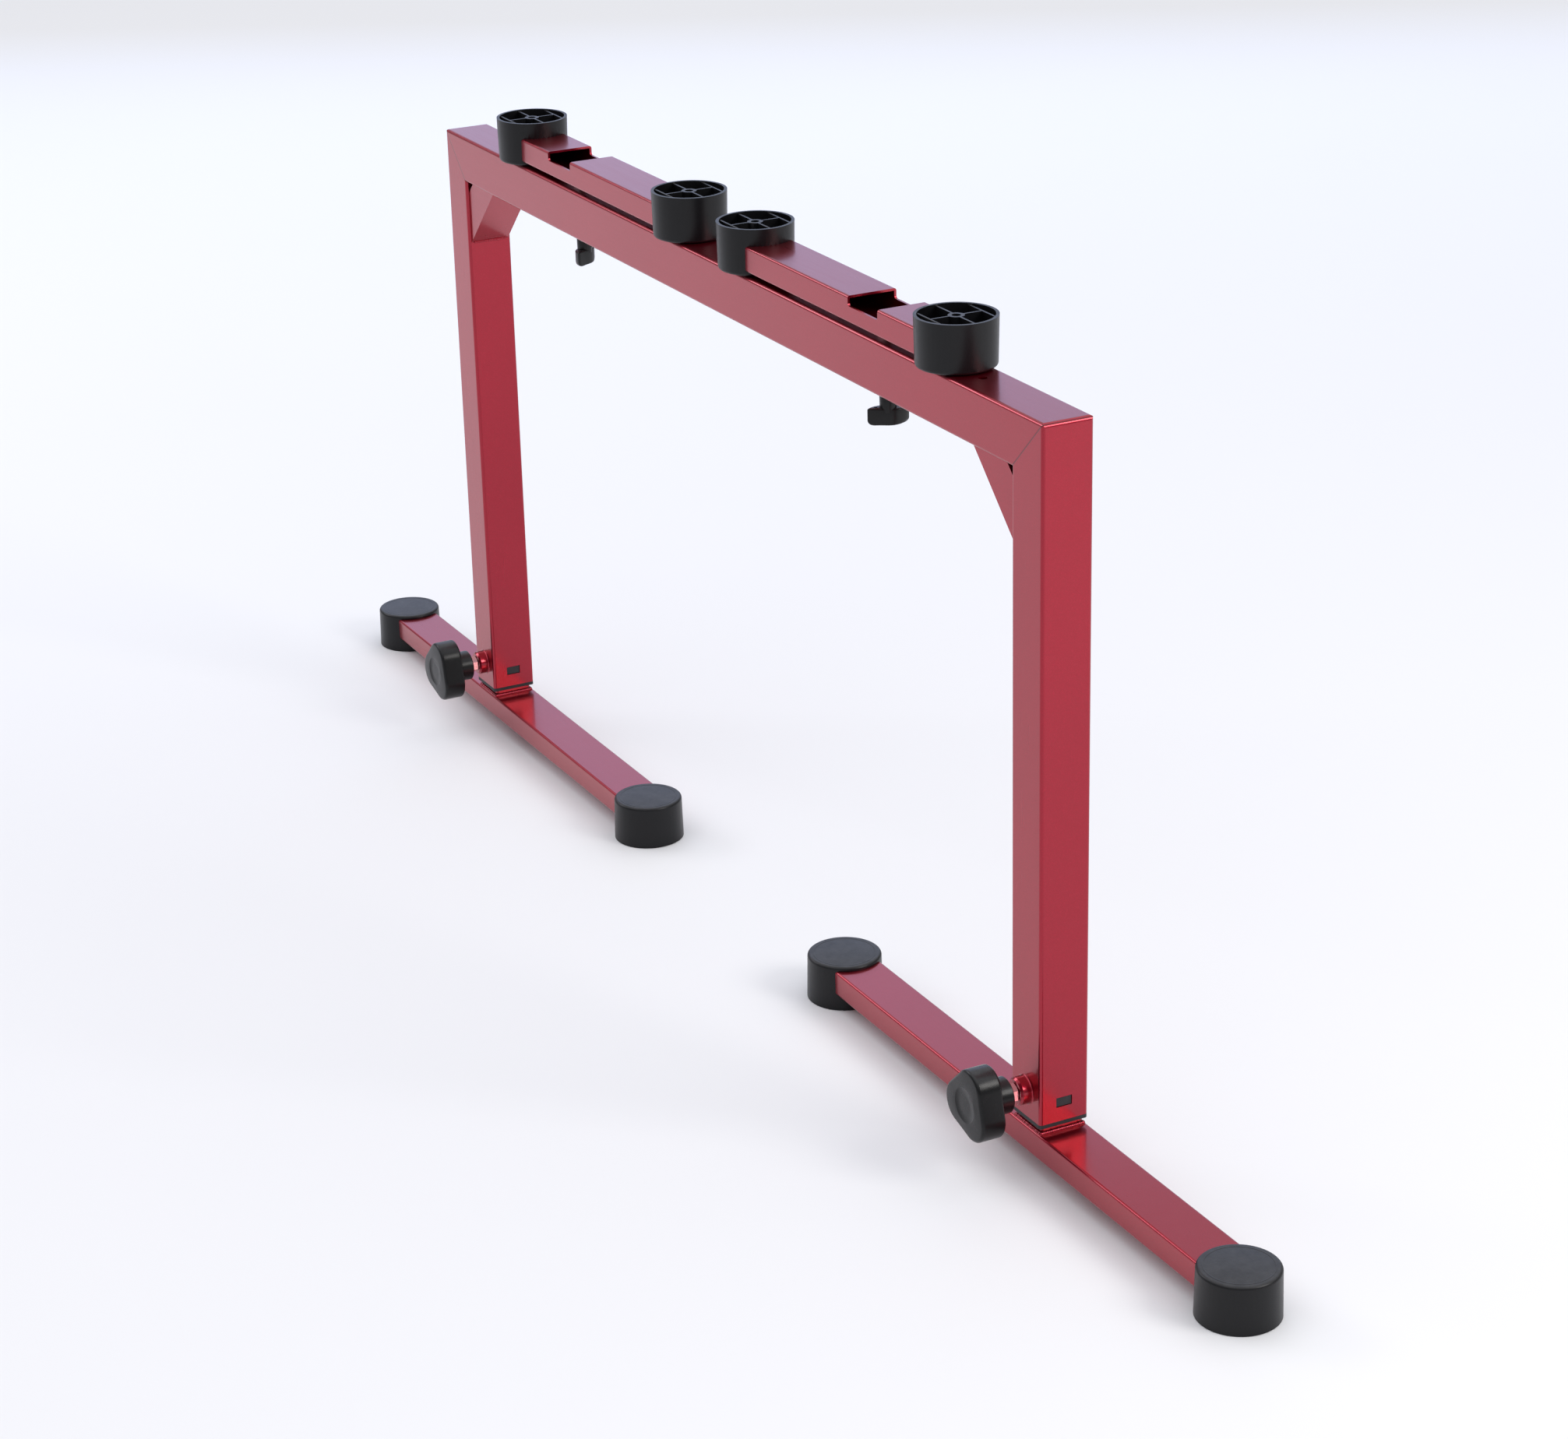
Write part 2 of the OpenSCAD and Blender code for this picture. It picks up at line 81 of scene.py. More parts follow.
class GripSizes(bpy.types.PropertyGroup):
    """Sizes of the knobs and wing grips"""

    hub_radius: FloatProperty(
        name="Hub radius", description="Radius of a knob's hub", default=13.5 * MM,
        unit="LENGTH", precision=4,
    )
    head_depth: FloatProperty(
        name="Head depth", description="Thickness of a knob's head", default=20 * MM,
        unit="LENGTH", precision=4,
    )
    lobe_offset: FloatProperty(
        name="Lobe offset", description="Distance from the axis to a lobe's centre", default=12 * MM,
        unit="LENGTH",
        precision=4,
    )
    lobe_radius: FloatProperty(
        name="Lobe radius", description="Radius of each lobe", default=16.5 * MM,
        unit="LENGTH", precision=4,
    )
    head_angle: FloatProperty(
        name="Head angle", description="Turn of the head from one lobe pointing down",
        default=math.radians(44),
        subtype="ANGLE",
    )
    edge_radius: FloatProperty(
        name="Edge radius", description="Rounding of the head's front edge", default=2.6 * MM,
        unit="LENGTH",
        precision=4,
    )
    dimple_radius: FloatProperty(
        name="Dimple radius", description="Radius of the shallow round dimple in the face",
        default=13 * MM,
        unit="LENGTH", precision=4,
    )
    dimple_depth: FloatProperty(
        name="Dimple depth", description="Depth of the dimple in the face", default=0.5 * MM,
        unit="LENGTH", precision=4,
    )
    wing_length: FloatProperty(
        name="Wing length", description="Length of a wing", default=30 * MM, unit="LENGTH", precision=4
    )
    wing_width: FloatProperty(
        name="Wing width", description="Width of a wing at its middle", default=11.6 * MM,
        unit="LENGTH", precision=4,
    )
    wing_sweep: FloatProperty(
        name="Wing sweep", description="How far each wing tip swings to one side", default=4.2 * MM,
        unit="LENGTH",
        precision=4,
    )
    wing_depth: FloatProperty(
        name="Wing depth", description="Depth of a wing below its stem", default=12.5 * MM,
        unit="LENGTH",
        precision=4,
    )
    stem_radius: FloatProperty(
        name="Stem radius", description="Radius of a wing's round stem", default=6.5 * MM, unit="LENGTH",
        precision=4,
    )
    hole_radius: FloatProperty(
        name="Hole radius", description="Radius of the blind hole in a wing", default=1.3 * MM,
        unit="LENGTH",
        precision=4,
    )
    left_wing_angle: FloatProperty(
        name="Left wing angle", description="Direction of the left wing from +X",
        default=math.radians(-60),
        subtype="ANGLE",
    )
    right_wing_angle: FloatProperty(
        name="Right wing angle", description="Direction of the right wing from +X",
        default=math.radians(60),
        subtype="ANGLE",
    )


class PartSizes(bpy.types.PropertyGroup):
    """Sizes of the welds, screws and cap details"""

    weld_radius: FloatProperty(
        name="Weld radius", description="Half width of a weld bead", default=2.3 * MM,
        unit="LENGTH", precision=4,
    )
    weld_step: FloatProperty(
        name="Weld step", description="Distance from one ripple of a weld to the next", default=1.5 * MM,
        unit="LENGTH", precision=4,
    )
    gusset_weld_radius: FloatProperty(
        name="Gusset weld radius", description="Half width of the weld beads on the gussets",
        default=1.3 * MM,
        unit="LENGTH", precision=4,
    )
    boss_fillet: FloatProperty(
        name="Boss fillet", description="Radius of the weld fillet round a clamp boss", default=1.3 * MM,
        unit="LENGTH", precision=4,
    )
    thread_pitch: FloatProperty(
        name="Thread pitch", description="Pitch of the arm screw's thread", default=1.0 * MM,
        unit="LENGTH",
        precision=4,
    )
    thread_depth: FloatProperty(
        name="Thread depth", description="Depth of the arm screw's thread", default=0.5 * MM,
        unit="LENGTH",
        precision=4,
    )
    cap_bevel: FloatProperty(
        name="Cap bevel", description="Rounding of the moulded caps' edges", default=0.45 * MM,
        unit="LENGTH",
        precision=4,
    )
    ring_radius: FloatProperty(
        name="Ring radius", description="Radius of the faint ring on a cap's closed end",
        default=24.5 * MM,
        unit="LENGTH", precision=4,
    )
    ring_rise: FloatProperty(
        name="Ring rise", description="How far that ring stands proud", default=0.18 * MM, unit="LENGTH",
        precision=4,
    )
    seed: IntProperty(name="Seed", description="Seed of the weld ripples", default=7)


class Finishes(bpy.types.PropertyGroup):
    """Colours of the finishes"""

    ruby: FloatVectorProperty(
        name="Ruby paint", description="Metallic ruby paint", subtype="COLOR",
        default=(0.34, 0.005, 0.022),
    )
    cap: FloatVectorProperty(
        name="Cap plastic", description="Moulded plastic of the caps", subtype="COLOR",
        default=(0.0045, 0.0045, 0.0056),
    )
    grip: FloatVectorProperty(
        name="Grip plastic", description="Grained plastic of the knobs", subtype="COLOR",
        default=(0.0038, 0.0038, 0.0043),
    )
    guide: FloatVectorProperty(
        name="Guide plastic", description="Grey plastic of the guides", subtype="COLOR",
        default=(0.032, 0.033, 0.036),
    )
    zinc: FloatVectorProperty(
        name="Zinc", description="Zinc plating of the screws", subtype="COLOR",
        default=(0.66, 0.69, 0.74),
    )
    floor: FloatVectorProperty(
        name="Floor", description="Pale studio floor", subtype="COLOR", default=(0.84, 0.84, 0.85)
    )


class StudioSizes(bpy.types.PropertyGroup):
    """Place of the camera round the stand"""

    azimuth: FloatProperty(
        name="Azimuth", description="Direction of the camera, from the front towards +X",
        default=math.radians(63.08), subtype="ANGLE",
    )
    elevation: FloatProperty(
        name="Elevation", description="Height of the camera above the horizon",
        default=math.radians(22.1),
        subtype="ANGLE",
    )
    roll: FloatProperty(
        name="Roll", description="Tilt of the camera about its own line of sight",
        default=math.radians(1.416),
        subtype="ANGLE",
    )
    distance: FloatProperty(
        name="Distance", description="Distance from the camera to the point it looks at", default=2.6,
        unit="LENGTH",
    )
    target: FloatVectorProperty(
        name="Target", description="Point that the camera looks at, from the middle of the stand's base",
        default=(0.3297, -0.1042, 0.3124), subtype="XYZ", unit="LENGTH",
    )
    lens: FloatProperty(
        name="Lens", description="Focal length of the camera", default=83.9, subtype="DISTANCE_CAMERA"
    )


# ---------------------------------------------------------------- node helpers


def add_node(tree, kind, **inputs):
    """A node with its named inputs set; a socket given as a value is linked"""
    node = tree.nodes.new(kind)
    for name, value in inputs.items():
        socket = node.inputs[name.replace("_", " ")]
        if isinstance(value, bpy.types.NodeSocket):
            tree.links.new(value, socket)
        else:
            socket.default_value = value
    return node


def math_node(tree, operation, first, second=0.0, clamp=False):
    """The output of a math node"""
    node = tree.nodes.new("ShaderNodeMath")
    node.operation = operation
    node.use_clamp = clamp
    for socket, value in zip(node.inputs, (first, second)):
        if isinstance(value, bpy.types.NodeSocket):
            tree.links.new(value, socket)
        else:
            socket.default_value = value
    return node.outputs[0]


def mix_colour(tree, factor, first, second, blend="MIX"):
    """The colour output of a mix node"""
    node = tree.nodes.new("ShaderNodeMix")
    node.data_type = "RGBA"
    node.blend_type = blend
    for index, value in ((0, factor), (6, first), (7, second)):
        if isinstance(value, bpy.types.NodeSocket):
            tree.links.new(value, node.inputs[index])
        else:
            node.inputs[index].default_value = value
    return node.outputs[2]


def new_group(name, inputs, outputs):
    """An empty shader node group with its inputs and outputs: name -> (socket type, default)"""
    tree = bpy.data.node_groups.new(name, "ShaderNodeTree")
    for label, (kind, default) in inputs.items():
        socket = tree.interface.new_socket(label, in_out="INPUT", socket_type=kind)
        socket.default_value = default
    for label, kind in outputs.items():
        tree.interface.new_socket(label, in_out="OUTPUT", socket_type=kind)
    start = tree.nodes.new("NodeGroupInput")
    end = tree.nodes.new("NodeGroupOutput")
    return tree, start.outputs, end.inputs


def noise(tree, vector, scale, detail=2.0, roughness=0.5):
    """The value output of a noise texture"""
    node = add_node(tree, "ShaderNodeTexNoise", Scale=scale, Detail=detail, Roughness=roughness)
    if vector is not None:
        tree.links.new(vector, node.inputs["Vector"])
    return node.outputs[0]


def flake_group():
    """Fine metallic flake: a colour with brighter and darker grains and broad drifts"""
    tree, given, made = new_group(
        "Metal flake",
        {
            "Colour": ("NodeSocketColor", (0.5, 0.5, 0.5, 1.0)),
            "Vector": ("NodeSocketVector", (0.0, 0.0, 0.0)),
            "Grain scale": ("NodeSocketFloat", 1400.0),
            "Grain strength": ("NodeSocketFloat", 0.25),
            "Drift strength": ("NodeSocketFloat", 0.12),
        },
        {"Colour": "NodeSocketColor", "Mask": "NodeSocketFloat"},
    )
    grain = add_node(tree, "ShaderNodeTexVoronoi", Vector=given["Vector"], Scale=given["Grain scale"])
    grain_value = math_node(tree, "SUBTRACT", grain.outputs["Distance"], 0.45)
    drift = math_node(tree, "SUBTRACT", noise(tree, given["Vector"], 7.0, 3.0), 0.5)
    grain_part = math_node(tree, "MULTIPLY", grain_value, given["Grain strength"])
    drift_part = math_node(tree, "MULTIPLY", drift, given["Drift strength"])
    gain = math_node(tree, "ADD", math_node(tree, "ADD", grain_part, drift_part), 1.0)
    scaled = tree.nodes.new("ShaderNodeVectorMath")
    scaled.operation = "SCALE"
    tree.links.new(given["Colour"], scaled.inputs[0])
    tree.links.new(gain, scaled.inputs["Scale"])
    tree.links.new(scaled.outputs[0], made["Colour"])
    tree.links.new(grain_value, made["Mask"])
    return tree


def roughness_group():
    """Roughness with drawn streaks, smudges and a base value"""
    tree, given, made = new_group(
        "Uneven gloss",
        {
            "Vector": ("NodeSocketVector", (0.0, 0.0, 0.0)),
            "Base": ("NodeSocketFloat", 0.4),
            "Streaks": ("NodeSocketFloat", 0.05),
            "Smudges": ("NodeSocketFloat", 0.08),
            "Streak scale": ("NodeSocketFloat", 60.0),
        },
        {"Roughness": "NodeSocketFloat", "Streak": "NodeSocketFloat"},
    )
    streak = math_node(
        tree, "SUBTRACT", noise(tree, given["Vector"], given["Streak scale"], 4.0, 0.6), 0.5
    )
    smudge = math_node(tree, "SUBTRACT", noise(tree, given["Vector"], 11.0, 5.0, 0.6), 0.5)
    streak_part = math_node(tree, "MULTIPLY", streak, given["Streaks"])
    smudge_part = math_node(tree, "MULTIPLY", smudge, given["Smudges"])
    total = math_node(
        tree, "ADD", math_node(tree, "ADD", streak_part, smudge_part), given["Base"], clamp=True
    )
    tree.links.new(total, made["Roughness"])
    tree.links.new(streak, made["Streak"])
    return tree


def grain_group():
    """Height of a fine moulded or sprayed grain"""
    tree, given, made = new_group(
        "Surface grain",
        {
            "Vector": ("NodeSocketVector", (0.0, 0.0, 0.0)),
            "Fine scale": ("NodeSocketFloat", 1200.0),
            "Coarse scale": ("NodeSocketFloat", 160.0),
            "Fine share": ("NodeSocketFloat", 0.5),
        },
        {"Height": "NodeSocketFloat"},
    )
    fine = noise(tree, given["Vector"], given["Fine scale"], 2.0)
    coarse = noise(tree, given["Vector"], given["Coarse scale"], 2.0)
    fine_part = math_node(tree, "MULTIPLY", fine, given["Fine share"])
    tree.links.new(math_node(tree, "ADD", fine_part, coarse), made["Height"])
    return tree


def dust_and_top_light_group():
    """A pale mask on faces that look up: partly settled dust, partly painted light that lightens the tops
    """
    tree, given, made = new_group(
        "Dust and painted top light",
        {
            "Vector": ("NodeSocketVector", (0.0, 0.0, 0.0)),
            "Amount": ("NodeSocketFloat", 0.04),
        },
        {"Mask": "NodeSocketFloat"},
    )
    geometry = tree.nodes.new("ShaderNodeNewGeometry")
    parts = add_node(tree, "ShaderNodeSeparateXYZ", Vector=geometry.outputs["Normal"])
    # Painted top light: faces that look up are made lighter in patches, partly standing for settled dust
    upward = math_node(tree, "SUBTRACT", parts.outputs["Z"], 0.6, clamp=True)
    dust_and_top_light_patches = math_node(tree, "MULTIPLY", noise(tree, given["Vector"], 90.0, 6.0, 0.7), upward)
    tree.links.new(math_node(tree, "MULTIPLY", dust_and_top_light_patches, given["Amount"]), made["Mask"])
    return tree


def seam_group():
    """The fine line where two mitred tubes meet, on both upper corners"""
    tree, given, made = new_group(
        "Mitre seam",
        {
            "Vector": ("NodeSocketVector", (0.0, 0.0, 0.0)),
            "Corner X": ("NodeSocketFloat", 0.5),
            "Corner Z": ("NodeSocketFloat", 0.5),
            "Width": ("NodeSocketFloat", 0.0005),
        },
        {"Mask": "NodeSocketFloat"},
    )
    parts = add_node(tree, "ShaderNodeSeparateXYZ", Vector=given["Vector"])
    across = math_node(
        tree, "SUBTRACT", given["Corner X"], math_node(tree, "ABSOLUTE", parts.outputs["X"])
    )
    down = math_node(tree, "SUBTRACT", given["Corner Z"], parts.outputs["Z"])
    gap = math_node(tree, "ABSOLUTE", math_node(tree, "SUBTRACT", across, down))
    near = math_node(tree, "SUBTRACT", 1.0, math_node(tree, "DIVIDE", gap, given["Width"]), clamp=True)
    tree.links.new(near, made["Mask"])
    return tree


GROUP_MAKERS = {
    "Metal flake": flake_group,
    "Uneven gloss": roughness_group,
    "Surface grain": grain_group,
    "Dust and painted top light": dust_and_top_light_group,
    "Mitre seam": seam_group,
}


def place_group(tree, name, **inputs):
    """A node of a shared effect group, which is built the first time it is asked for"""
    group = bpy.data.node_groups.get(name) or GROUP_MAKERS[name]()
    node = tree.nodes.new("ShaderNodeGroup")
    node.node_tree = group
    for label, value in inputs.items():
        socket = node.inputs[label.replace("_", " ")]
        if isinstance(value, bpy.types.NodeSocket):
            tree.links.new(value, socket)
        else:
            socket.default_value = value
    return node.outputs


def new_material(name, colour):
    """A material with its principled shader and object coordinates"""
    material = bpy.data.materials.new(name)
    material.use_nodes = True
    material.diffuse_color = (*colour, 1.0)
    tree = material.node_tree
    shader = tree.nodes["Principled BSDF"]
    place = tree.nodes.new("ShaderNodeTexCoord").outputs["Object"]
    return material, tree, shader, place


def stretched(tree, place, scale):
    """Object coordinates scaled by a different amount on each axis, so that a pattern runs along a tube"""
    node = add_node(tree, "ShaderNodeMapping", Vector=place, Scale=scale)
    return node.outputs[0]


def bump(tree, shader, height, distance, strength=1.0):
    """Feeds a height to the shader's normal"""
    node = add_node(tree, "ShaderNodeBump", Height=height, Distance=distance, Strength=strength)
    tree.links.new(node.outputs[0], shader.inputs["Normal"])


# ---------------------------------------------------------------- materials


def ruby_paint(name, along, mitred=False):
    """Metallic ruby paint under a clear coat, with the drawn streaks of the tube running along one axis"""
    colour = tuple(bpy.context.scene.stand_finishes.ruby)
    material, tree, shader, place = new_material(name, colour)
    streak_scale = tuple(0.04 if axis == along else 1.0 for axis in "XYZ")
    lengthwise = stretched(tree, place, streak_scale)
    flake = place_group(
        tree, "Metal flake", Colour=(*colour, 1.0), Vector=place, Grain_scale=1500.0, Grain_strength=0.30,
        Drift_strength=0.16,
    )
    gloss = place_group(
        tree, "Uneven gloss", Vector=lengthwise, Base=0.29, Streaks=0.07, Smudges=0.06, Streak_scale=420.0
    )
    # Faces that look up are mixed a little toward a pale colour: the shared dust and painted top light mask
    dust_and_top_light = place_group(tree, "Dust and painted top light", Vector=place, Amount=0.05)
    colour_with_dust_and_top_light = mix_colour(tree, dust_and_top_light["Mask"], flake["Colour"], (0.62, 0.56, 0.56, 1.0))
    height = place_group(
        tree, "Surface grain", Vector=place, Fine_scale=900.0, Coarse_scale=150.0, Fine_share=0.25
    )
    total = math_node(tree, "ADD", height["Height"], math_node(tree, "MULTIPLY", gloss["Streak"], 0.3))
    if mitred:
        side_x, top_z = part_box("right_leg_tube")[1][0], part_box("crossbar")[1][2]
        seam = place_group(
            tree, "Mitre seam", Vector=place, Corner_X=side_x, Corner_Z=top_z, Width=1.1 * MM
        )
        total = math_node(tree, "SUBTRACT", total, math_node(tree, "MULTIPLY", seam["Mask"], 6.0))
        colour_with_dust_and_top_light = mix_colour(
            tree, math_node(tree, "MULTIPLY", seam["Mask"], 0.95), colour_with_dust_and_top_light, (0.06, 0.002, 0.006, 1.0)
        )
    tree.links.new(colour_with_dust_and_top_light, shader.inputs["Base Color"])
    tree.links.new(gloss["Roughness"], shader.inputs["Roughness"])
    shader.inputs["Metallic"].default_value = 0.9
    shader.inputs["Coat Weight"].default_value = 0.6
    shader.inputs["Coat Roughness"].default_value = 0.12
    shader.inputs["Coat IOR"].default_value = 1.55
    bump(tree, shader, total, 0.015 * MM, 0.5)
    return material


def moulded_plastic(name, colour, base=0.46, grain=0.03 * MM, fine=1500.0):
    """Black or grey moulded plastic with a fine grain and soft flow marks"""
    material, tree, shader, place = new_material(name, colour)
    flake = place_group(
        tree, "Metal flake", Colour=(*colour, 1.0), Vector=place, Grain_scale=fine, Grain_strength=0.35,
        Drift_strength=0.5,
    )
    # Faces that look up are mixed strongly toward grey: partly dust and smudges, partly painted light that
    # keeps the tops bright
    dust_and_top_light = place_group(tree, "Dust and painted top light", Vector=place, Amount=0.7)
    colour_with_dust_and_top_light = mix_colour(tree, dust_and_top_light["Mask"], flake["Colour"], (0.20, 0.20, 0.21, 1.0))
    gloss = place_group(
        tree, "Uneven gloss", Vector=place, Base=base, Streaks=0.10, Smudges=0.12, Streak_scale=240.0
    )
    height = place_group(
        tree, "Surface grain", Vector=place, Fine_scale=fine, Coarse_scale=300.0, Fine_share=1.0
    )
    tree.links.new(colour_with_dust_and_top_light, shader.inputs["Base Color"])
    tree.links.new(gloss["Roughness"], shader.inputs["Roughness"])
    shader.inputs["Specular IOR Level"].default_value = 0.3
    bump(tree, shader, height["Height"], grain, 0.8)
    return material


def zinc_plate(name):
    """Bright zinc plating with a faint uneven passivation tint"""
    colour = tuple(bpy.context.scene.stand_finishes.zinc)
    material, tree, shader, place = new_material(name, colour)
    tint = noise(tree, place, 260.0, 3.0)
    base = mix_colour(tree, tint, (*colour, 1.0), (0.80, 0.78, 0.70, 1.0))
    gloss = place_group(
        tree, "Uneven gloss", Vector=place, Base=0.20, Streaks=0.12, Smudges=0.10, Streak_scale=700.0
    )
    height = place_group(
        tree, "Surface grain", Vector=place, Fine_scale=2500.0, Coarse_scale=500.0, Fine_share=0.6
    )
    tree.links.new(base, shader.inputs["Base Color"])
    tree.links.new(gloss["Roughness"], shader.inputs["Roughness"])
    shader.inputs["Metallic"].default_value = 1.0
    bump(tree, shader, height["Height"], 0.01 * MM, 0.6)
    return material


def material_named(name):
    """A finish, built the first time it is asked for"""
    title = f"{name}_finish"
    made = bpy.data.materials.get(title)
    if made:
        return made
    colours = bpy.context.scene.stand_finishes
    makers = {
        "ruby_bar": lambda: ruby_paint(title, "X", mitred=True),
        "ruby_leg": lambda: ruby_paint(title, "Z", mitred=True),
        "ruby_flat": lambda: ruby_paint(title, "X"),
        "ruby_inner": lambda: ruby_paint(title, "Z"),
        "ruby_weld": lambda: ruby_paint(title, "none"),
        "cap_plastic": lambda: moulded_plastic(title, tuple(colours.cap), 0.36, 0.025 * MM, 1300.0),
        "grip_plastic": lambda: moulded_plastic(title, tuple(colours.grip), 0.30, 0.035 * MM, 1100.0),
        "guide_plastic": lambda: moulded_plastic(title, tuple(colours.guide), 0.55, 0.03 * MM, 1600.0),
        "zinc": lambda: zinc_plate(title),
    }
    return makers[name]()


# ---------------------------------------------------------------- shape helpers


def add_piece(bm, name, material, body, slot, *nodes, sharp=35.0):
    """Makes a bmesh a finished piece that rides on a body and may stand for CAD nodes"""
    bmesh.ops.remove_doubles(bm, verts=bm.verts, dist=1e-6)
    bmesh.ops.recalc_face_normals(bm, faces=bm.faces)
    mesh = bpy.data.meshes.new(name)
    bm.to_mesh(mesh)
    bm.free()
    mesh.shade_smooth()
    mesh.set_sharp_from_angle(angle=math.radians(sharp))
    mesh.materials.append(material_named(material))
    piece = bpy.data.objects.new(name, mesh)
    bpy.context.scene.collection.objects.link(piece)
    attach(piece, body)
    if nodes:
        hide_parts(*nodes)
    return piece


def quarter_turn(steps):
    """Sine and cosine at even steps over a quarter turn, for rounded edges"""
    turns = [math.pi / 2 * step / steps for step in range(steps + 1)]
    return [(math.sin(turn), math.cos(turn)) for turn in turns]


def spin_profile(bm, profile, matrix, steps=96):
    """Spins an outline of (radius, height) points into a closed solid about the local Z axis"""
    verts = [bm.verts.new((radius, 0.0, height)) for radius, height in profile]
    edges = [bm.edges.new(pair) for pair in zip(verts, verts[1:])]
    bmesh.ops.spin(
        bm, geom=verts + edges, cent=(0, 0, 0), axis=(0, 0, 1), angle=math.tau, steps=steps, use_merge=True
    )
    bmesh.ops.remove_doubles(bm, verts=bm.verts, dist=1e-7)
    bmesh.ops.transform(bm, matrix=matrix, verts=bm.verts)


def loft(bm, outline, levels, matrix, segments=120):
    """Stacks rings of outline(angle, level) points at each level's height, and closes both ends"""
    ring = bmesh.ops.create_circle(bm, segments=segments, radius=1.0, cap_ends=False)["verts"]
    angles = [math.tau * index / segments for index in range(segments)]
    edges = sorted({edge for vert in ring for edge in vert.link_edges}, key=lambda edge: edge.index)
    made = list(ring)
    first = list(ring)
    for number, level in enumerate(levels):
        if number:
            grown = bmesh.ops.extrude_edge_only(bm, edges=edges)["geom"]
            edges = [
                item for item in grown if isinstance(item, bmesh.types.BMEdge) and len(item.link_faces) == 1
            ]
            below = set(ring)
            above = {}
            for vert in (item for item in grown if isinstance(item, bmesh.types.BMVert)):
                others = [edge.other_vert(vert) for edge in vert.link_edges]
                above[next(other for other in others if other in below)] = vert
            ring = [above[vert] for vert in ring]
            made += ring
        for vert, angle in zip(ring, angles):
            across, up = outline(angle, level)
            vert.co = (across, up, level[0])
    for end in (first, ring):
        bm.faces.new(end)
    bmesh.ops.transform(bm, matrix=matrix, verts=made)


def axis_matrix(origin, direction):
    """Local +Z turned to a direction, with its origin at a place"""
    turn = Vector((0, 0, 1)).rotation_difference(Vector(direction))
    return Matrix.Translation(Vector(origin)) @ turn.to_matrix().to_4x4()


def middle(node):
    """Middle of a CAD node's box"""
    low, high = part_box(node)
    return (Vector(low) + Vector(high)) / 2


def sign(side):
    """-1 on the left and 1 on the right"""
    return -1 if side == "left" else 1


# ---------------------------------------------------------------- pieces


def drill(bm, place, radius, depth):
    """Cuts a round hole, whose middle and axis a matrix gives, out of a closed shape"""
    bit = bmesh.new()
    bmesh.ops.create_cone(
        bit, cap_ends=True, segments=32, radius1=radius, radius2=radius, depth=depth, matrix=place
    )
    blanks = []
    for name, shape in (("blank", bm), ("bit", bit)):
        mesh = bpy.data.meshes.new(name)
        shape.to_mesh(mesh)
        blank = bpy.data.objects.new(name, mesh)
        bpy.context.scene.collection.objects.link(blank)
        blanks.append(blank)
    bit.free()
    cut = blanks[0].modifiers.new("cut", "BOOLEAN")
    cut.operation = "DIFFERENCE"
    cut.solver = "EXACT"
    cut.object = blanks[1]
    graph = bpy.context.evaluated_depsgraph_get()
    graph.update()
    result = bpy.data.meshes.new_from_object(blanks[0].evaluated_get(graph))
    bm.clear()
    bm.from_mesh(result)
    bpy.data.meshes.remove(result)
    for blank in blanks:
        mesh = blank.data
        bpy.data.objects.remove(blank)
        bpy.data.meshes.remove(mesh)


def lobed_radius(angle, sizes):
    """Distance from the axis to the outline of a rounded triangle, in a direction"""
    turned = (angle + math.pi / 2 - sizes.head_angle) % (math.tau / 3)
    off = min(turned, math.tau / 3 - turned)
    offset, radius = sizes.lobe_offset, sizes.lobe_radius
    tangent = math.atan2(radius * math.sin(math.pi / 3), offset + radius * math.cos(math.pi / 3))
    if off < tangent:
        return offset * math.cos(off) + math.sqrt(radius**2 - (offset * math.sin(off)) ** 2)
    return (offset / 2 + radius) / math.cos(math.pi / 3 - off)


